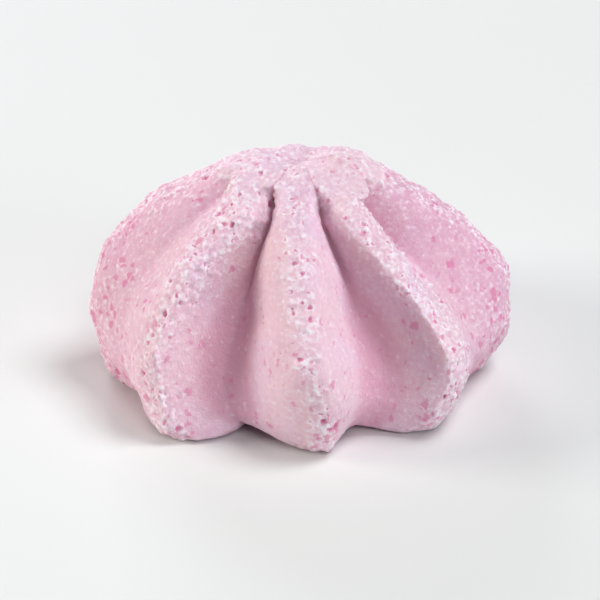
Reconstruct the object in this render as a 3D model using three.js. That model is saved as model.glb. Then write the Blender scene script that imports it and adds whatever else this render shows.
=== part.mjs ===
// A small meringue kiss, piped through an eight-pointed star nozzle onto a tray and baked dry.
// It is one solid: eight uneven ridges run from spread feet up to a torn, nearly flat cap, with
// creases between them. Millimetres, +Z up, the front faces -Y, and it stands on the plane Z = 0.

import * as THREE from "three";

const { clamp, degToRad, lerp, smoothstep } = THREE.MathUtils;

// Driving dimensions.
const REACH = 17; // axis to the crest of an average ridge
const HEIGHT = 18.8; // floor to the middle of the cap
const FLAT_BASE = 7.6; // radius of the flat middle of the underside
const COLUMNS_PER_RIDGE = 14;
const WALL_ROWS = 38; // from the edge of the foot to the middle of the cap

// The eight ridges, anticlockwise from the front. A ridge leans as it was piped, so it has three
// azimuths in degrees, at the foot, halfway up and at the cap. reach and rise scale how far out and
// how high it bulges, toe is how much further its foot is squashed out, spread is how much plumper
// its foot is, round goes from 0 for a sharp ridge to 1 for a plump one, and edge is how broadly
// its crest is worn.
const AVERAGE_RIDGE = { reach: 1, rise: 1, toe: 0, spread: 0.2, round: 0.2, edge: 0.2 };
const RIDGES = [
  { name: "front", azimuths: [-82, -88, -97], reach: 0.985, spread: 0.1, round: 0.05 },
  {
    name: "front right",
    azimuths: [-49.5, -47.5, -64.5],
    reach: 1.02,
    rise: 0.99,
    toe: -0.02,
    spread: 0.15,
    round: 0,
    edge: 0.26,
  },
  { name: "right", azimuths: [3, 1, 5], rise: 1.05, toe: -0.02, spread: 0.2, round: 0.35, edge: 0.25 },
  { name: "back right", azimuths: [48, 46, 45], reach: 0.97, rise: 0.96, round: 0.25 },
  { name: "back", azimuths: [93, 90, 83], rise: 0.98, round: 0.15, edge: 0.25 },
  { name: "back left", azimuths: [140, 135, 120], reach: 0.98, rise: 0.96, round: 0.25 },
  { name: "left", azimuths: [184, 177, 158], rise: 1.08, toe: 0.02, spread: 0.2, round: 0.35, edge: 0.25 },
  {
    name: "front left",
    azimuths: [232, 226, 226],
    reach: 1.02,
    toe: 0.06,
    spread: 0.6,
    round: 0.15,
    edge: 0.3,
  },
].map((ridge) => ({ ...AVERAGE_RIDGE, ...ridge }));

// The crease that follows each ridge. depths scale how deep it is at the foot, halfway up and under
// the cap, and lift is how far its foot clears the floor, in millimetres.
const CREASES = [
  { azimuths: [-70, -61, -81], depths: [1.15, 1.05, 1], lift: 0.4 },
  { azimuths: [-21, -23, -30], depths: [1, 0.5, 0.95], lift: 0.3 },
  { azimuths: [27, 24, 25], depths: [1, 0.95, 0.95], lift: 0.4 },
  { azimuths: [71, 69, 65], depths: [1, 1, 1], lift: 0.3 },
  { azimuths: [117, 113, 102], depths: [1, 0.9, 0.9], lift: 0.5 },
  { azimuths: [163, 156, 139], depths: [1, 1, 1], lift: 0.3 },
  { azimuths: [208, 200, 200], depths: [0.8, 0.35, 0.35], lift: 0.2 },
  { azimuths: [249, 238, 247], depths: [0.9, 1.15, 1.1], lift: 1.1 },
];

// Side views of an average ridge and an average crease, from the edge of the foot to the middle of
// the cap: distance from the axis as a share of REACH, then height as a share of HEIGHT.
const CREST_LINE = profile([
  [0.83, 0], [0.91, 0.03], [0.97, 0.125], [1, 0.265], [0.985, 0.4], [0.92, 0.515], [0.8, 0.645],
  [0.65, 0.77], [0.49, 0.875], [0.37, 0.94], [0.285, 0.975], [0.17, 0.995], [0, 1],
]);
const CREASE_LINE = profile([
  [0.66, 0], [0.75, 0.025], [0.8, 0.105], [0.79, 0.21], [0.72, 0.335], [0.61, 0.46], [0.49, 0.58],
  [0.37, 0.705], [0.275, 0.815], [0.215, 0.9], [0.2, 0.96], [0.15, 0.99], [0, 1],
]);

// The cap is where the nozzle pulled away: oval, with a small lip torn over one crease.
const CAP = { from: 0.9, backFrom: 0.7, to: 0.96, widthScale: 1.1, depthScale: 0.72, endLift: 0.5 };
const LIP = { azimuth: -53, halfAngle: 24, height: 0.955, halfHeight: 0.022, overhang: 1.5, droop: 0.4 };

// Crumbly unevenness, a sum of waves that run in spread directions.
const WAVES = { count: 7, longest: 5.2, ratio: 0.855, swing: 0.056, phaseStep: 1.7 };
const ROUGHNESS = { everywhere: 0.1, crest: 0.16, cap: 0.18 }; // as shares of the waves' own size

function profile(points) {
  return new THREE.SplineCurve(points.map(([r, z]) => new THREE.Vector2(r, z)));
}

function bell(x) {
  return Math.exp(-x * x);
}

// The smooth line through three values, at t = 0, 1/2 and 1.
function through(first, middle, last, t) {
  return first * (1 - t) * (1 - 2 * t) + middle * 4 * t * (1 - t) + last * t * (2 * t - 1);
}

// Everything that stays the same up one column of the surface.
function column(index) {
  const position = index / COLUMNS_PER_RIDGE;
  const ridge = Math.floor(position);
  const t = position - ridge;
  const a = RIDGES[ridge];
  const b = RIDGES[(ridge + 1) % RIDGES.length];
  const crease = CREASES[ridge];
  const turn = b === RIDGES[0] ? 360 : 0;
  const blend = smoothstep(t, 0, 1);
  const nearest = t < 0.5 ? a : b;
  return {
    azimuths: a.azimuths.map((azimuth, level) =>
      through(azimuth, crease.azimuths[level], b.azimuths[level] + turn, t),
    ),
    closeness: Math.abs(2 * t - 1), // 1 on a crest, 0 in a crease
    reach: lerp(a.reach, b.reach, blend),
    rise: lerp(a.rise, b.rise, blend),
    toe: lerp(a.toe, b.toe, blend),
    spread: nearest.spread,
    round: nearest.round,
    edge: nearest.edge,
    depths: crease.depths,
    lift: crease.lift / HEIGHT,
  };
}

// How far a ridge has fallen away from its crest: nearly flat out to the edge, then straight down.
function fallOff(away, edge) {
  return Math.cbrt(away ** 3 + edge ** 3) - edge;
}

// How much a point belongs to its ridge: 1 on the crest, 0 at the bottom of the crease.
function ridgeShare(col, crestHeight) {
  const upper = smoothstep(crestHeight, 0.58, 0.95); // higher up, ridges broaden and creases narrow
  const edge = col.edge + 0.3 * upper;
  const worn = 1 - fallOff(1 - col.closeness, edge) / fallOff(1, edge);
  const lower = 1 - smoothstep(crestHeight, 0, 0.12); // the feet are squashed broad on the tray
  const round = clamp(col.round + 0.75 * upper + col.spread * lower, 0, 1);
  return lerp(worn ** 2.3, (1 - (1 - worn) ** 2) ** 0.75, round);
}

// The crumbly unevenness at a point, about -1 to 1.
function unevenness(point) {
  const goldenAngle = Math.PI * (3 - Math.sqrt(5));
  const direction = new THREE.Vector3();
  let sum = 0;
  for (let i = 0; i < WAVES.count; i++) {
    const length = WAVES.longest * WAVES.ratio ** i;
    const polar = Math.acos(1 - (2 * (i + 0.5)) / WAVES.count);
    direction.set(
      Math.sin(polar) * Math.cos(goldenAngle * i),
      Math.sin(polar) * Math.sin(goldenAngle * i),
      Math.cos(polar),
    );
    const turns = (2 * Math.PI * point.dot(direction)) / length;
    sum += WAVES.swing * length * Math.sin(turns + WAVES.phaseStep * i);
  }
  return sum;
}

// The point of the wall in one column, v from 0 at the edge of the foot to 1 at the cap's middle.
function wallPoint(col, v) {
  const crest = CREST_LINE.getPointAt(v);
  const crease = CREASE_LINE.getPointAt(v);
  const ridge = ridgeShare(col, crest.y);
  const filled = smoothstep(crest.y, 0.94, 0.98); // creases end at the rim of the cap
  const [footDepth, middleDepth, topDepth] = col.depths;
  const wallDepth = lerp(footDepth, middleDepth, smoothstep(crest.y, 0, 0.24));
  const depth = lerp(wallDepth, topDepth, smoothstep(crest.y, 0.5, 0.9));
  const mix = 1 - (1 - ridge) * depth * (1 - filled);
  let r = lerp(crease.x, crest.x, mix);
  let z = lerp(crease.y, crest.y, mix);

  z += (col.rise - 1) * 0.9 * Math.sin(Math.PI * clamp(z, 0, 1));
  const azimuth = through(...col.azimuths, clamp(z, 0, 1));
  z += col.lift * (1 - ridge) ** 2 * bell(z / 0.17) * smoothstep(r, 0.5, 0.7);
  const outer = smoothstep(r, 0, 0.9);
  r *= 1 + outer * (col.reach - 1 + col.toe * bell(z / 0.12));

  const cap = smoothstep(crest.y, CAP.from, CAP.to);
  const outward = new THREE.Vector3(Math.cos(degToRad(azimuth)), Math.sin(degToRad(azimuth)), 0);
  const point = outward.clone().multiplyScalar(REACH * r);
  point.x *= lerp(1, CAP.widthScale, cap);
  point.y *= lerp(1, CAP.depthScale, point.y > 0 ? smoothstep(crest.y, CAP.backFrom, CAP.to) : cap);
  const rim = smoothstep(r, 0, 0.2) * (1 - smoothstep(r, 0.25, 0.4));
  point.z = HEIGHT * z + CAP.endLift * cap * rim * outward.x ** 2;

  const lip =
    bell((azimuth - LIP.azimuth) / LIP.halfAngle) * bell((crest.y - LIP.height) / LIP.halfHeight);
  point.addScaledVector(outward, LIP.overhang * lip);
  point.z -= LIP.droop * lip;

  const size =
    ROUGHNESS.everywhere + ROUGHNESS.crest * smoothstep(ridge, 0.72, 1) + ROUGHNESS.cap * cap;
  const upward = smoothstep(crest.y, 0.5, 1);
  const normal = outward.multiplyScalar(1 - upward).setZ(upward).normalize();
  point.addScaledVector(normal, size * unevenness(point) * smoothstep(v, 0, 0.04));
  point.z = Math.max(point.z, 0);
  return point;
}

// Rings of points from the middle of the underside, over the wall, to the middle of the cap.
function rings(columns) {
  const flat = columns.map(({ azimuths: [foot] }) =>
    new THREE.Vector3(FLAT_BASE, 0, 0).applyAxisAngle(new THREE.Vector3(0, 0, 1), degToRad(foot)),
  );
  const wall = Array.from({ length: WALL_ROWS }, (_, row) =>
    columns.map((col) => wallPoint(col, row / WALL_ROWS)),
  );
  return [flat, ...wall];
}

// One closed skin over the rings, with a point in the middle of the underside and of the cap.
function closedSkin(allRings, bottom, top) {
  const around = allRings[0].length;
  const last = allRings.length - 1;
  const topIndex = 1 + allRings.length * around;
  const at = (ring, i) => 1 + ring * around + (i % around);
  const faces = [];
  for (let i = 0; i < around; i++) {
    faces.push(0, at(0, i + 1), at(0, i));
    for (let ring = 0; ring < last; ring++) {
      faces.push(at(ring, i), at(ring, i + 1), at(ring + 1, i + 1));
      faces.push(at(ring, i), at(ring + 1, i + 1), at(ring + 1, i));
    }
    faces.push(at(last, i), at(last, i + 1), topIndex);
  }
  return new THREE.BufferGeometry()
    .setFromPoints([bottom, ...allRings.flat(), top])
    .setIndex(faces);
}

function meringueGeometry() {
  const columns = Array.from({ length: RIDGES.length * COLUMNS_PER_RIDGE }, (_, i) => column(i));
  const geometry = closedSkin(rings(columns), new THREE.Vector3(), wallPoint(columns[0], 1));
  geometry.computeBoundingBox();
  const middle = geometry.boundingBox.getCenter(new THREE.Vector3());
  geometry.translate(-middle.x, -middle.y, 0);
  geometry.computeVertexNormals();
  return geometry;
}

const meringue = new THREE.Mesh(
  meringueGeometry(),
  new THREE.MeshStandardMaterial({ color: 0xe9c3d2, roughness: 0.95, metalness: 0 }),
);
meringue.name = "meringue";

const cookie = new THREE.Group();
cookie.add(meringue);

export default cookie;
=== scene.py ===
import math
import bpy
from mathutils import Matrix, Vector


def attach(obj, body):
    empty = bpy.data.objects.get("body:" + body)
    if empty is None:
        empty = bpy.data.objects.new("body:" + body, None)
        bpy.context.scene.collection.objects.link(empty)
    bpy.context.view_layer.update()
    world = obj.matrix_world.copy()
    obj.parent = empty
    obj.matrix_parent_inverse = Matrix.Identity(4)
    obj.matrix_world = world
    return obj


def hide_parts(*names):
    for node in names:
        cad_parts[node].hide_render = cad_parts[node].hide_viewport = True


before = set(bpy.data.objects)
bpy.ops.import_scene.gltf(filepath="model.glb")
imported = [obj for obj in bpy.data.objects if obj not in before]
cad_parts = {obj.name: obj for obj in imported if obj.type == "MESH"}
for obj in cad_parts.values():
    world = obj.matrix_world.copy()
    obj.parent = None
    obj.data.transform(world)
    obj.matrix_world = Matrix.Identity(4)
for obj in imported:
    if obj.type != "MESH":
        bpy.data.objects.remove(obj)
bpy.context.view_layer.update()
print("frame loaded")

mm = 0.001


class Wire:  # a node socket that can be used in sums like a number
    def __init__(self, tree, socket):
        self.tree = tree
        self.socket = socket

    def math(self, operation, *others):
        values = dict(enumerate((self, *others)))
        return addNode(self.tree, "ShaderNodeMath", {"operation": operation}, values)

    def mathAfter(self, operation, first):
        return addNode(self.tree, "ShaderNodeMath", {"operation": operation}, {0: first, 1: self})

    def __add__(self, other):
        return self.math("ADD", other)

    def __radd__(self, other):
        return self.mathAfter("ADD", other)

    def __sub__(self, other):
        return self.math("SUBTRACT", other)

    def __rsub__(self, other):
        return self.mathAfter("SUBTRACT", other)

    def __mul__(self, other):
        return self.math("MULTIPLY", other)

    def __rmul__(self, other):
        return self.mathAfter("MULTIPLY", other)

    def __truediv__(self, other):
        return self.math("DIVIDE", other)

    def __rtruediv__(self, other):
        return self.mathAfter("DIVIDE", other)

    def __mod__(self, other):
        return self.math("FLOORED_MODULO", other)

    def __pow__(self, other):
        return self.math("POWER", other)

    def __abs__(self):
        return self.math("ABSOLUTE")


def addNode(tree, kind, settings=None, inputs=None, output=0):
    node = tree.nodes.new(kind)
    for name, value in (settings or {}).items():
        setattr(node, name, value)
    for key, value in (inputs or {}).items():
        if isinstance(value, Wire):
            tree.links.new(value.socket, node.inputs[key])
        else:
            node.inputs[key].default_value = value
    return Wire(tree, node.outputs[output])


def clamped(wire, low=0.0, high=1.0):
    return wire.math("MAXIMUM", low).math("MINIMUM", high)


def smooth(wire, low, high):  # eases from 0 at low to 1 at high
    inputs = {"Value": wire, "From Min": low, "From Max": high}
    return addNode(wire.tree, "ShaderNodeMapRange", {"interpolation_type": "SMOOTHSTEP"}, inputs)


def bell(wire):  # 1 at 0, falling to 0 on both sides
    return (wire * wire * -1.0).math("EXPONENT")


def blend(start, end, share):
    return start + (end - start) * share


def vector(tree, x, y, z):
    return addNode(tree, "ShaderNodeCombineXYZ", None, {0: x, 1: y, 2: z})


def vectorMath(tree, operation, *values, output=0):
    return addNode(tree, "ShaderNodeVectorMath", {"operation": operation}, dict(enumerate(values)), output)


def scaled(tree, value, factor):
    return addNode(tree, "ShaderNodeVectorMath", {"operation": "SCALE"}, {0: value, "Scale": factor})


def xyz(wire):  # the parts of a vector
    parts = wire.tree.nodes.new("ShaderNodeSeparateXYZ")
    wire.tree.links.new(wire.socket, parts.inputs[0])
    return [Wire(wire.tree, part) for part in parts.outputs]


# the kiss: eight piped ridges, front first and anticlockwise, angles in degrees from +X
kiss = {
    "Reach": 17 * mm,
    "Height": 18.8 * mm,
    "Flat Base": 7.6 * mm,
    "Columns": 480,
    "Rows": 205,
    "Crowding": 0.35,  # how much closer the columns stand on a crest
    "Cap Start": 0.9,  # as shares of the height
    "Cap Back Start": 0.7,
    "Cap Full": 0.96,
    "Cap Width": 1.1,
    "Cap Depth": 0.72,
    "Cap End Lift": 0.5 * mm,
    "Lip Angle": -53.0,
    "Lip Spread": 24.0,  # degrees
    "Lip Level": 0.955,
    "Lip Thickness": 0.022,
    "Lip Overhang": 1.5 * mm,
    "Lip Droop": 0.4 * mm,
    "Wave Length": 5.2 * mm,
    "Wave Swing": 0.056,  # height as a share of length
    "Waves Everywhere": 0.1,  # as shares of the full height
    "Waves On Crests": 0.16,
    "Waves On Cap": 0.18,
    "waveCount": 7,
    "waveRatio": 0.855,  # each wave's length as a share of the one before
    "wavePhase": 1.7,
    "ridges": {
        # where each crest stands at the foot, halfway up and at the cap
        "foot": [-82, -49.5, 3, 48, 93, 140, 184, 232],
        "middle": [-88, -47.5, 1, 46, 90, 135, 177, 226],
        "top": [-97, -64.5, 5, 45, 83, 120, 158, 226],
        "reach": [0.985, 1.02, 1.0, 0.97, 1.0, 0.98, 1.0, 1.02],  # how far out and how high it bulges
        "rise": [1.0, 0.99, 1.05, 0.96, 0.98, 0.96, 1.08, 1.0],
        "toe": [0, -0.02, -0.02, 0, 0, 0, 0.02, 0.06],  # how much further its foot is squashed out
        "spread": [0.1, 0.15, 0.2, 0.2, 0.2, 0.2, 0.2, 0.6],  # how much plumper its foot is
        "round": [0.05, 0, 0.35, 0.25, 0.15, 0.25, 0.35, 0.15],  # 0 for a sharp ridge, 1 for a plump one
        "edge": [0.2, 0.26, 0.25, 0.2, 0.25, 0.2, 0.25, 0.3],  # how broadly its crest is worn
        "blush": [0.05, 0.2, 0.95, 0.35, 0.3, 0.35, 0.8, 0.25],  # how pink and spotted it is
        # the crease that follows each ridge: where it runs, and how deep it is at the same three levels
        "creaseFoot": [-70, -21, 27, 71, 117, 163, 208, 249],
        "creaseMiddle": [-61, -23, 24, 69, 113, 156, 200, 238],
        "creaseTop": [-81, -30, 25, 65, 102, 139, 200, 247],
        "depthFoot": [1.15, 1.0, 1.0, 1.0, 1.0, 1.0, 0.8, 0.9],
        "depth": [1.05, 0.5, 0.95, 1.0, 0.9, 1.0, 0.35, 1.15],
        "depthTop": [1.0, 0.95, 0.95, 1.0, 0.9, 1.0, 0.35, 1.1],
        "lift": [0.4, 0.3, 0.4, 0.3, 0.5, 0.3, 0.2, 1.1],  # how far its foot clears the floor, mm
        "strip": [0.5, 2.3, 1.3, 1.1, 1.2, 1.1, 1.3, 1.6],  # half width of the crumbly strip, mm
        "shift": [0.1, 1.5, 0, 0.3, -0.2, 0.4, 0, 0.1],  # how far it lies off the crest, mm
    },
    # side views, as shares of reach and height, from the foot's edge to the middle of the cap
    "crestLine": [
        (0.83, 0), (0.91, 0.03), (0.97, 0.125), (1.0, 0.265), (0.985, 0.4), (0.92, 0.515), (0.8, 0.645),
        (0.65, 0.77), (0.49, 0.875), (0.37, 0.94), (0.285, 0.975), (0.17, 0.995), (0, 1),
    ],
    "creaseLine": [
        (0.66, 0), (0.75, 0.025), (0.8, 0.105), (0.79, 0.21), (0.72, 0.335), (0.61, 0.46), (0.49, 0.58),
        (0.37, 0.705), (0.275, 0.815), (0.215, 0.9), (0.2, 0.96), (0.15, 0.99), (0, 1),
    ],
}


def newTree(name, numbers, others):
    tree = bpy.data.node_groups.new(name, "GeometryNodeTree")
    tree.interface.new_socket("Geometry", in_out="OUTPUT", socket_type="NodeSocketGeometry")
    for label, kind in {**others, **dict.fromkeys(numbers, "NodeSocketFloat")}.items():
        tree.interface.new_socket(label, in_out="INPUT", socket_type=kind)
    given = tree.nodes.new("NodeGroupInput")
    return tree, {socket.name: Wire(tree, socket) for socket in given.outputs if socket.name}


def closeTree(tree, geometry, material):
    realized = addNode(tree, "GeometryNodeRealizeInstances", None, {0: geometry})
    painted = addNode(tree, "GeometryNodeSetMaterial", None, {"Geometry": realized, "Material": material})
    out = tree.nodes.new("NodeGroupOutput")
    tree.links.new(painted.socket, out.inputs[0])


def useTree(piece, tree, values):
    modifier = piece.modifiers.new(tree.name, "NODES")
    modifier.node_group = tree
    for item in tree.interface.items_tree:
        if item.in_out == "INPUT" and item.name in values:
            modifier[item.identifier] = values[item.name]


def attribute(tree, name):
    return addNode(tree, "GeometryNodeInputNamedAttribute", {"data_type": "FLOAT"}, {"Name": name})


def stored(tree, geometry, name, value, kind="FLOAT"):
    inputs = {"Geometry": geometry, "Name": name, "Value": value}
    return addNode(tree, "GeometryNodeStoreNamedAttribute", {"data_type": kind, "domain": "POINT"}, inputs)


def through(first, middle, last, t):  # the smooth line through three values, at t = 0, 1/2 and 1
    return first * (1 - t) * (1 - 2 * t) + middle * 4 * t * (1 - t) + last * t * (2 * t - 1)


def profilePoint(tree, lineObject, share):
    line = addNode(tree, "GeometryNodeObjectInfo", None, {"Object": lineObject}, "Geometry")
    curved = addNode(tree, "GeometryNodeCurveSplineType", {"spline_type": "CATMULL_ROM"}, {"Curve": line})
    fine = addNode(tree, "GeometryNodeSetSplineResolution", None, {"Geometry": curved, "Resolution": 24})
    sampled = addNode(tree, "GeometryNodeSampleCurve", {"mode": "FACTOR", "use_all_curves": True},
                      {"Curves": fine, "Factor": share}, "Position")
    radius, height, _ = xyz(sampled)
    return radius, height


def columnFields(tree, ridges, phase):
    count = len(kiss["ridges"]["foot"])
    index = phase.math("FLOOR")
    plain = phase - index
    crowd = kiss["Crowding"] / (2 * math.pi)
    t = plain - (plain * (2 * math.pi)).math("SINE") * crowd  # 0 on a crest, 1 on the next

    def pick(name, which):
        return addNode(tree, "GeometryNodeSampleIndex", {"data_type": "FLOAT", "domain": "POINT"},
                       {"Geometry": ridges, "Value": attribute(tree, name), "Index": which})

    following = (index + 1) % count
    turn = index.math("GREATER_THAN", count - 1.5) * 360  # the last crease ends a full turn on
    eased = smooth(t, 0, 1)
    nearest = (index + t.math("GREATER_THAN", 0.5)) % count

    def azimuth(level):
        crease = pick("crease" + level.title(), index)
        return through(pick(level, index), crease, pick(level, following) + turn, t)

    def blended(name):
        return blend(pick(name, index), pick(name, following), eased)

    return {
        "azimuths": [azimuth("foot"), azimuth("middle"), azimuth("top")],
        "closeness": abs(2 * t - 1),
        "reach": blended("reach"),
        "rise": blended("rise"),
        "toe": blended("toe"),
        "spread": pick("spread", nearest),
        "round": pick("round", nearest),
        "edge": pick("edge", nearest),
        "blush": blended("blush"),
        "depthFoot": pick("depthFoot", index),
        "depth": pick("depth", index),
        "depthTop": pick("depthTop", index),
        "strip": pick("strip", nearest),
        "shift": pick("shift", nearest),
        "hand": 1 - 2 * t.math("GREATER_THAN", 0.5),  # 1 just after a crest, -1 just before one
        "lift": pick("lift", index) * mm / kiss["Height"],
    }


def ridgeShare(column, crestHeight):  # 1 on the crest, 0 at the bottom of the crease
    sharpPower = 2.3
    plumpPower = 0.75
    upper = smooth(crestHeight, 0.58, 0.95)  # higher up, ridges broaden and creases narrow
    lower = 1 - smooth(crestHeight, 0, 0.12)  # the feet are squashed broad
    edge = column["edge"] + 0.3 * upper
    away = 1 - column["closeness"]

    def fallOff(distance):  # nearly flat out to the edge, then straight down
        return (distance ** 3 + edge ** 3) ** (1 / 3) - edge

    worn = clamped(1 - fallOff(away) / ((1 + edge ** 3) ** (1 / 3) - edge))
    plump = (1 - (1 - worn) * (1 - worn)) ** plumpPower
    plumpness = clamped(column["round"] + 0.75 * upper + column["spread"] * lower)
    return blend(worn ** sharpPower, plump, plumpness)


def unevenness(tree, point, longest, swing):  # waves that run in spread directions
    total = None
    waveCount = kiss["waveCount"]
    goldenAngle = math.pi * (3 - math.sqrt(5))
    for i in range(waveCount):
        share = kiss["waveRatio"] ** i
        polar = math.acos(1 - 2 * (i + 0.5) / waveCount)
        flat = math.sin(polar)
        direction = (flat * math.cos(goldenAngle * i), flat * math.sin(goldenAngle * i), math.cos(polar))
        along = vectorMath(tree, "DOT_PRODUCT", point, direction, output="Value")
        turns = along * (2 * math.pi / share) / longest + kiss["wavePhase"] * i
        wave = turns.math("SINE") * share
        total = wave if total is None else total + wave
    return total * swing * longest  # metres, about -1 mm to 1 mm


def formTree():
    sizes = [name for name in kiss if name[0].isupper() and name not in ("Columns", "Rows", "Crowding")]
    tree, given = newTree("pipedKiss", sizes, {
        "Ridges": "NodeSocketGeometry", "Crest Line": "NodeSocketObject", "Crease Line": "NodeSocketObject",
        "Columns": "NodeSocketInt", "Rows": "NodeSocketInt", "Material": "NodeSocketMaterial",
    })
    ball = addNode(tree, "GeometryNodeMeshUVSphere", None,
                   {"Segments": given["Columns"], "Rings": given["Rows"], "Radius": 1.0}, "Mesh")
    x, y, z = xyz(addNode(tree, "GeometryNodeInputPosition"))
    # row 0 is the middle of the underside, row 1 the edge of its flat middle, and the wall starts at row 2
    row = clamped(z * -1.0, -1, 1).math("ARCCOSINE") / math.pi * given["Rows"]
    v = clamped((row - 2) / (given["Rows"] - 2))
    phase = (y.math("ARCTAN2", x) / (2 * math.pi)) % 1.0 * len(kiss["ridges"]["foot"])
    column = columnFields(tree, given["Ridges"], phase)

    crestRadius, crestHeight = profilePoint(tree, given["Crest Line"], v)
    creaseRadius, creaseHeight = profilePoint(tree, given["Crease Line"], v)
    ridge = ridgeShare(column, crestHeight)
    filled = smooth(crestHeight, 0.94, 0.98)  # creases end at the rim of the cap
    depth = blend(column["depthFoot"], column["depth"], smooth(crestHeight, 0, 0.24))
    depth = blend(depth, column["depthTop"], smooth(crestHeight, 0.5, 0.9))
    mix = 1 - (1 - ridge) * depth * (1 - filled)
    radius = blend(creaseRadius, crestRadius, mix)
    height = blend(creaseHeight, crestHeight, mix)
    bulge = clamped(height) * math.pi
    height = height + (column["rise"] - 1) * 0.9 * bulge.math("SINE")
    azimuth = through(*column["azimuths"], clamped(height))
    arch = column["lift"] * (1 - ridge) ** 2 * bell(height / 0.17)
    height = height + arch * smooth(radius, 0.5, 0.7)
    outer = smooth(radius, 0, 0.9)
    toe = column["toe"] * bell(height / 0.12)
    radius = radius * (1 + outer * (column["reach"] - 1 + toe))
    turned = azimuth * math.radians(1)
    cosine = turned.math("COSINE")
    sine = turned.math("SINE")
    cap = smooth(crestHeight, given["Cap Start"], given["Cap Full"])
    backCap = smooth(crestHeight, given["Cap Back Start"], given["Cap Full"])
    shallow = blend(cap, backCap, sine.math("GREATER_THAN", 0))
    rim = smooth(radius, 0, 0.2) * (1 - smooth(radius, 0.25, 0.4))
    byLip = bell((azimuth - given["Lip Angle"]) / given["Lip Spread"])
    lip = byLip * bell((crestHeight - given["Lip Level"]) / given["Lip Thickness"])
    out = radius * given["Reach"]
    wallX = cosine * (out * blend(1, given["Cap Width"], cap) + given["Lip Overhang"] * lip)
    wallY = sine * (out * blend(1, given["Cap Depth"], shallow) + given["Lip Overhang"] * lip)
    wallZ = height * given["Height"] + given["Cap End Lift"] * cap * rim * cosine * cosine
    wallZ = wallZ - given["Lip Droop"] * lip
    wall = vector(tree, wallX, wallY, wallZ)

    upward = smooth(crestHeight, 0.5, 1)
    normal = vectorMath(tree, "NORMALIZE", vector(tree, cosine * (1 - upward), sine * (1 - upward), upward))
    onCrest = smooth(ridge, 0.72, 1)
    size = given["Waves Everywhere"] + given["Waves On Crests"] * onCrest + given["Waves On Cap"] * cap
    bump = unevenness(tree, wall, given["Wave Length"], given["Wave Swing"]) * size * smooth(v, 0, 0.04)
    wall = vectorMath(tree, "ADD", wall, scaled(tree, normal, bump))
    wall = vectorMath(tree, "MAXIMUM", wall, (-1.0, -1.0, 0.0))

    onWall = row.math("GREATER_THAN", 1.5)
    onRing = row.math("GREATER_THAN", 0.5)
    flatAngle = column["azimuths"][0] * math.radians(1)
    flatRadius = given["Flat Base"] * onRing
    flat = vector(tree, flatAngle.math("COSINE") * flatRadius, flatAngle.math("SINE") * flatRadius, 0.0)
    place = addNode(tree, "ShaderNodeMix", {"data_type": "VECTOR"}, {0: onWall, 4: flat, 5: wall}, 1)
    halfRidge = 0.4  # about the angle from a crest to a crease, in radians
    side = (1 - column["closeness"]) * out * halfRidge / mm * column["hand"]  # millimetres past the crest
    made = stored(tree, ball, "crest", clamped(1 - (1 - ridge) * depth) * onWall)
    made = stored(tree, made, "side", abs(side - column["shift"]) - column["strip"])
    made = stored(tree, made, "blush", column["blush"] * (1 - cap))
    made = stored(tree, made, "cap", cap * onWall)
    made = stored(tree, made, "lip", byLip * cap)
    made = stored(tree, made, "climb", v)
    made = addNode(tree, "GeometryNodeSetPosition", None, {"Geometry": made, "Position": place})

    box = tree.nodes.new("GeometryNodeBoundBox")
    tree.links.new(made.socket, box.inputs[0])
    corners = [Wire(tree, box.outputs[name]) for name in ("Min", "Max")]
    toMiddle = scaled(tree, vectorMath(tree, "ADD", *corners), -0.5)
    centring = vectorMath(tree, "MULTIPLY", toMiddle, (1.0, 1.0, 0.0))
    made = addNode(tree, "GeometryNodeSetPosition", None, {"Geometry": made, "Offset": centring})
    made = addNode(tree, "GeometryNodeSetShadeSmooth", {"domain": "FACE"}, {"Geometry": made})
    closeTree(tree, made, given["Material"])
    return tree


# the crust: crumbs, pores and pits, worked into the mesh along its normals, in millimetres
crust = {
    "Lump Size": 1.7,
    "Lump Height": 0.18,
    "Crumb Size": 0.55,
    "Crumb Height": 0.3,
    "Pore Spacing": 0.7,
    "Pore Chance": 0.16,  # on smooth skin, from 0 to 1
    "Pore Depth": 0.18,
    "Pit Spacing": 1.05,
    "Pit Chance": 0.04,
    "Pit Shift": 34.0,  # moves the pattern of pits
    "Pit Depth": 0.34,
    "Rim Height": 0.03,
    "Cluster Size": 3.0,
    "Fray Size": 2.4,  # frays the edges of the crumbly strips
    "Fray Reach": 2.2,
    "Fine Fray Size": 0.6,
    "Fine Fray Reach": 0.8,
    "Patch Size": 2.6,
    "Sink": 0.04,
}


def atFoot(z):
    return 1 - smooth(z, 0.5, 5)


def nearCap(z):
    return smooth(z, 9, 14)


def cells(tree, place, size, *outputs):
    texture = addNode(tree, "ShaderNodeTexVoronoi", None, {"Vector": place, "Scale": 1 / size}).socket.node
    return [Wire(tree, texture.outputs[name]) for name in outputs]


def noise(tree, place, size, detail=2.0, output=0):
    inputs = {"Vector": place, "Scale": 1 / size, "Detail": detail, "Roughness": 0.55}
    return addNode(tree, "ShaderNodeTexNoise", None, inputs, output)


def hollows(tree, place, spacing, chance, smallest, largest):  # round bowls and their rims, 0 to 1
    distance, colour = cells(tree, place, spacing, "Distance", "Color")
    first, second, _ = xyz(colour)
    opened = smooth(chance - first, 0, 0.15)
    radius = blend(smallest, largest, second) * opened + 0.001
    near = distance / radius
    return clamped(1 - near * near), bell((near - 1.15) * 3) * opened  # the rim is just outside the bowl


def warped(tree, place, size, amount):
    wobble = vectorMath(tree, "SUBTRACT", noise(tree, place, size, 2.0, "Color"), (0.5, 0.5, 0.5))
    return vectorMath(tree, "ADD", place, scaled(tree, wobble, amount))


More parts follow.
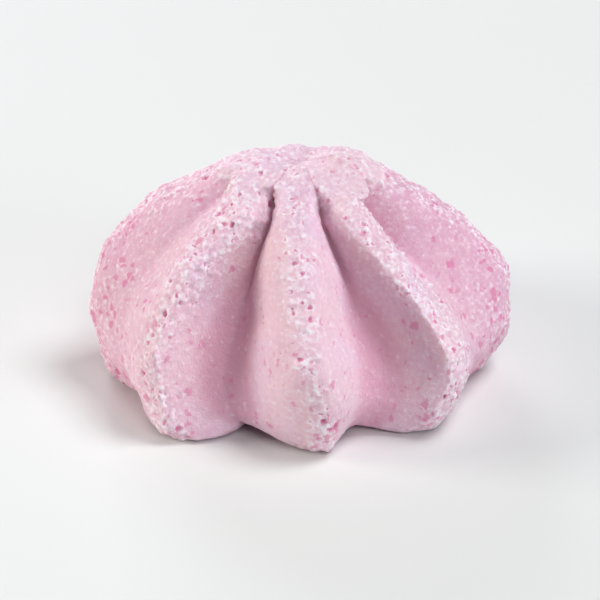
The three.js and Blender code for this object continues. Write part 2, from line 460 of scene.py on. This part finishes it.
def holes(tree, bed, rough, smoothness, size):  # the same in the mesh and in its colours
    place = warped(tree, bed, 0.6, 0.75)
    _, _, z = xyz(bed)
    foot = atFoot(z)
    cluster = smooth(noise(tree, bed, size["Cluster Size"], 1.0), 0.38, 0.62)
    poreChance = size["Pore Chance"] + rough * (0.4 + 0.15 * cluster)
    pore, poreRim = hollows(tree, place, size["Pore Spacing"], poreChance, 0.2, 0.42)
    pitShare = rough * (0.2 + 0.35 * cluster + 0.5 * foot) * (1 - 0.8 * smoothness)
    pitChance = size["Pit Chance"] + pitShare
    pitPlace = vectorMath(tree, "ADD", place, vector(tree, size["Pit Shift"], 0.0, 0.0))
    pitLargest = 0.38 + 0.2 * foot * cluster
    pit, pitRim = hollows(tree, pitPlace, size["Pit Spacing"], pitChance, 0.12, pitLargest)
    return pore, pit, clamped(poreRim + pitRim)


def crustTree():
    tree, given = newTree("crumbCrust", list(crust), {
        "Kiss": "NodeSocketGeometry", "Material": "NodeSocketMaterial",
    })
    position = addNode(tree, "GeometryNodeInputPosition")
    normal = addNode(tree, "GeometryNodeInputNormal")
    bed = scaled(tree, position, 1 / mm)
    cap, lip, climb = (attribute(tree, name) for name in ("cap", "lip", "climb"))
    side, crest, blush = (attribute(tree, name) for name in ("side", "crest", "blush"))
    _, _, z = xyz(bed)

    # a frayed strip along each crest, then broken patches beside it, low down and on the blushed ridges
    ragged = (noise(tree, bed, given["Fray Size"]) - 0.5) * given["Fray Reach"]
    ragged = ragged + (noise(tree, bed, given["Fine Fray Size"]) - 0.5) * given["Fine Fray Reach"]
    wider = atFoot(z) * 0.9 + nearCap(z) * 0.5
    worn = 1 - smooth(side + ragged - wider, -0.6, 0.6)
    patches = smooth(noise(tree, bed, given["Patch Size"]), 0.3, 0.6) * smooth(crest, 0.3, 0.8)
    broken = blush * (1 - 0.6 * smooth(z, 5, 12)) * patches
    low = (1 - smooth(z, 5, 9)) * smooth(crest, 0.45, 0.8)
    broken = broken.math("MAXIMUM", low * (0.15 + 0.7 * blush))
    rough = clamped(worn.math("MAXIMUM", broken) * (1 - cap) + cap * 0.9 - lip * 0.6)
    distance, = cells(tree, warped(tree, bed, 0.9, 0.55), given["Crumb Size"], "Distance")
    crumb = 0.5 - distance
    pore, pit, rim = holes(tree, bed, rough, lip, given)
    lumps = (noise(tree, bed, given["Lump Size"]) - 0.5) * given["Lump Height"] * (1 + rough)
    height = lumps + crumb * given["Crumb Height"] * (0.26 + 0.74 * rough)
    height = height - pore * given["Pore Depth"] * (0.4 + 0.6 * rough) - pit * given["Pit Depth"]
    height = height + rim * given["Rim Height"] * rough - given["Sink"]

    made = stored(tree, given["Kiss"], "bed", bed, "FLOAT_VECTOR")
    made = stored(tree, made, "rough", rough)
    made = stored(tree, made, "crumb", smooth(crumb, 0.05, 0.35))
    fade = smooth(climb, 0, 0.03) * (1 - smooth(climb, 0.975, 0.995))  # 0 at both poles
    offset = scaled(tree, normal, height * mm * fade)
    made = addNode(tree, "GeometryNodeSetPosition", None, {"Geometry": made, "Offset": offset})
    aboveFloor = vectorMath(tree, "MAXIMUM", position, (-1.0, -1.0, 0.0))
    made = addNode(tree, "GeometryNodeSetPosition", None, {"Geometry": made, "Position": aboveFloor})
    closeTree(tree, made, given["Material"])
    return tree


# the finish: colours are linear, and sizes without mm are millimetres
finish = {
    "skin": (0.80, 0.56, 0.68, 1),
    "warmSkin": (0.82, 0.56, 0.625, 1),
    "blush": (0.73, 0.40, 0.52, 1),
    # painted shade: the darker, pinker colour painted into the creases where shade falls
    "paintedCreaseShade": (0.68, 0.32, 0.43, 1),
    "pale": (0.91, 0.79, 0.845, 1),
    "deep": (0.73, 0.20, 0.37, 1),
    "speck": (0.71, 0.22, 0.38, 1),
    "broadSize": 7.0,
    "mottleSize": 1.3,
    "fineSize": 0.38,
    "spotSpacing": 0.9,
    "spotSmallest": 0.22,  # as shares of the spacing
    "spotLargest": 0.56,
    "grainSize": 0.18,
    "grainHeight": 0.16 * mm,
    "grainStrength": 0.6,
    "skinRoughness": 0.82,
    "crumbRoughness": 0.95,
    "specular": 0.25,
    "glowShare": 0.25,  # light that passes into the crust
    "glowDepth": 0.6 * mm,
    "glowSpread": (1.0, 0.42, 0.55),  # how far red, green and blue go
}


def colourMix(tree, share, first, second):
    return addNode(tree, "ShaderNodeMix", {"data_type": "RGBA"}, {0: share, 6: first, 7: second}, 2)


def meringueMaterial():
    material = bpy.data.materials.new("meringueCrust")
    material.use_nodes = True
    tree = material.node_tree
    tree.nodes.clear()

    def painted(name, output="Fac"):
        return addNode(tree, "ShaderNodeAttribute", {"attribute_name": name}, None, output)

    bed = painted("bed", "Vector")
    rough, crumb = painted("rough"), painted("crumb")
    pore, pit, rim = holes(tree, bed, rough, painted("lip"), crust)
    broad = noise(tree, bed, finish["broadSize"])
    mottle = noise(tree, bed, finish["mottleSize"], 3.0)
    fine = noise(tree, bed, finish["fineSize"], 3.0) - 0.5
    crest, blush = painted("crest"), painted("blush")
    _, _, z = xyz(bed)

    # soft spots gather on the blushed ridges and on the feet
    onSides = 0.36 * blush * (1 - nearCap(z)) * smooth(crest, 0, 0.5)
    onFeet = 0.32 * atFoot(z) * rough
    gathered = smooth(mottle + (onSides + onFeet), 0.52, 0.7)
    spotPlace = warped(tree, bed, 0.6, 0.8)
    speckle, _ = hollows(tree, spotPlace, finish["spotSpacing"], 0.1 + 0.7 * gathered,
                         finish["spotSmallest"], finish["spotLargest"])

    colour = colourMix(tree, smooth(broad, 0.35, 0.65), finish["skin"], finish["warmSkin"])
    blushed = clamped(blush + (mottle - 0.5) * 1.2 - fine * 1.6)
    colour = colourMix(tree, blushed, colour, finish["blush"])
    creaseShadeShare = 1 - smooth(crest, 0, 0.35)  # painted shade: 0 on the ridges, 1 down in the creases, where shade falls
    # the creases are painted darker and pinker as shade
    colour = colourMix(tree, creaseShadeShare * 0.7, colour, finish["paintedCreaseShade"])
    # pale dust lies on crumbs and the rims of holes, and in fine flecks elsewhere
    dusty = rough * (0.3 + crumb * 0.5 + rim * 0.5) + painted("lip") * 0.2
    dusty = clamped(dusty + fine * (1.6 + 1.2 * crest) + (crumb - 0.5) * 0.4)
    colour = colourMix(tree, dusty, colour, finish["pale"])
    colour = colourMix(tree, clamped(speckle * 1.6) * (0.6 + 0.25 * blush), colour, finish["speck"])
    hole = clamped(pore * (0.4 + 0.6 * rough) + pit * 1.3)
    colour = colourMix(tree, hole * 0.9, colour, finish["deep"])

    grain = noise(tree, bed, finish["grainSize"], 3.0)
    bump = addNode(tree, "ShaderNodeBump", None, {
        "Strength": finish["grainStrength"], "Distance": finish["grainHeight"], "Height": grain,
    })
    skin = addNode(tree, "ShaderNodeBsdfPrincipled", {"subsurface_method": "RANDOM_WALK"}, {
        "Base Color": colour,
        "Roughness": blend(finish["skinRoughness"], finish["crumbRoughness"], rough),
        "Normal": bump,
        "Subsurface Weight": finish["glowShare"],
        "Subsurface Radius": finish["glowSpread"],
        "Subsurface Scale": finish["glowDepth"],
        "Specular IOR Level": finish["specular"],
    })
    out = tree.nodes.new("ShaderNodeOutputMaterial")
    tree.links.new(skin.socket, out.inputs["Surface"])
    return material


def plainMesh(source, name, material):  # the modifiers' result as a mesh of its own
    bpy.context.view_layer.update()
    evaluated = source.evaluated_get(bpy.context.evaluated_depsgraph_get())
    mesh = bpy.data.meshes.new_from_object(evaluated)
    mesh.name = name
    mesh.materials.clear()  # drops the primitive's empty slot
    mesh.materials.append(material)
    mesh.polygons.foreach_set("material_index", [0] * len(mesh.polygons))
    piece = bpy.data.objects.new(name, mesh)
    bpy.context.scene.collection.objects.link(piece)
    return piece


def helperCurve(name, points):
    curve = bpy.data.curves.new(name, "CURVE")
    curve.dimensions = "3D"
    spline = curve.splines.new("POLY")
    spline.points.add(len(points) - 1)
    for target, (radius, height) in zip(spline.points, points):
        target.co = (radius, height, 0, 1)
    helper = bpy.data.objects.new(name, curve)
    bpy.context.scene.collection.objects.link(helper)
    return helper


def ridgePoints():
    ridges = kiss["ridges"]
    mesh = bpy.data.meshes.new("ridgePoints")
    spots = [(math.cos(math.radians(a)), math.sin(math.radians(a)), 0) for a in ridges["foot"]]
    mesh.from_pydata(spots, [], [])
    for name, values in ridges.items():
        mesh.attributes.new(name, "FLOAT", "POINT").data.foreach_set("value", values)
    helper = bpy.data.objects.new("ridgePoints", mesh)
    bpy.context.scene.collection.objects.link(helper)
    return helper


def makeMeringue():
    material = meringueMaterial()
    source = ridgePoints()
    crestLine = helperCurve("crestLine", kiss["crestLine"])
    creaseLine = helperCurve("creaseLine", kiss["creaseLine"])
    form = dict(kiss)
    form.update({"Crest Line": crestLine, "Crease Line": creaseLine, "Material": material})
    useTree(source, formTree(), form)
    useTree(source, crustTree(), {**crust, "Material": material})
    piece = plainMesh(source, "meringue_crust", material)
    for helper in (source, crestLine, creaseLine):
        bpy.data.objects.remove(helper)
    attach(piece, "root")
    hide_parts("meringue")
    print("meringue made:", len(piece.data.polygons), "faces")


makeMeringue()

# floor, lights and camera; lengths are in metres
studio = {
    "floorHalf": 2.0,
    "floorColour": (0.78, 0.775, 0.755, 1),
    "floorRoughness": 0.55,
    "worldStrength": 0.03,
    "lightDistance": 1.0,
    "lights": {
        # degrees from +X, degrees up, size, watts, colour
        "key": (0, 65, 0.5, 6.9, (0.94, 0.965, 1.0)),
        "leftFill": (178, 17, 0.5, 7.2, (1.0, 1.0, 0.93)),
        "backRim": (108, 16, 0.5, 4.0, (0.9, 0.92, 1.0)),
        "rightFill": (324, 15, 0.5, 3.1, (0.8, 0.94, 1.0)),
        "frontFill": (284, 45, 0.5, 2.4, (0.97, 0.98, 1.0)),
    },
    "cameraDistance": 0.65,
    "cameraElevation": 28,
    "sensorWidth": 36,
    "nearestSeen": 0.01,
    "viewWidth": 48.6 * mm,  # how wide the view is at the cookie
    "aimHeight": 6.0 * mm,
}


def direction(azimuth, elevation):
    turn, lift = math.radians(azimuth), math.radians(elevation)
    return Vector((math.cos(turn) * math.cos(lift), math.sin(turn) * math.cos(lift), math.sin(lift)))


def makeFloor():
    half = studio["floorHalf"]
    mesh = bpy.data.meshes.new("floor")
    corners = [(-half, -half, 0), (half, -half, 0), (half, half, 0), (-half, half, 0)]
    mesh.from_pydata(corners, [], [(0, 1, 2, 3)])
    floor = bpy.data.objects.new("floor", mesh)
    bpy.context.scene.collection.objects.link(floor)
    material = bpy.data.materials.new("paleTable")
    material.use_nodes = True
    shader = material.node_tree.nodes["Principled BSDF"]
    shader.inputs["Base Color"].default_value = studio["floorColour"]
    shader.inputs["Roughness"].default_value = studio["floorRoughness"]
    mesh.materials.append(material)


def makeLights():
    for name, (azimuth, elevation, size, watts, colour) in studio["lights"].items():
        light = bpy.data.lights.new(name, "AREA")
        light.shape = "DISK"
        light.size = size
        light.energy = watts
        light.color = colour
        lamp = bpy.data.objects.new(name, light)
        out = direction(azimuth, elevation)
        lamp.location = out * studio["lightDistance"]
        lamp.rotation_euler = (-out).to_track_quat("-Z", "Y").to_euler()
        bpy.context.scene.collection.objects.link(lamp)
    world = bpy.data.worlds.new("studioWorld")
    world.use_nodes = True
    background = world.node_tree.nodes["Background"]
    background.inputs["Color"].default_value = (1, 1, 1, 1)
    background.inputs["Strength"].default_value = studio["worldStrength"]
    bpy.context.scene.world = world


def makeCamera():
    data = bpy.data.cameras.new("camera")
    data.sensor_width = studio["sensorWidth"]
    data.lens = data.sensor_width * studio["cameraDistance"] / studio["viewWidth"]
    data.clip_start = studio["nearestSeen"]
    camera = bpy.data.objects.new("camera", data)
    back = direction(-90, studio["cameraElevation"])
    camera.location = Vector((0, 0, studio["aimHeight"])) + back * studio["cameraDistance"]
    camera.rotation_euler = (-back).to_track_quat("-Z", "Y").to_euler()
    bpy.context.scene.collection.objects.link(camera)
    bpy.context.scene.camera = camera


makeFloor()
makeLights()
makeCamera()
bpy.context.scene.view_settings.view_transform = "Standard"
print("studio ready")
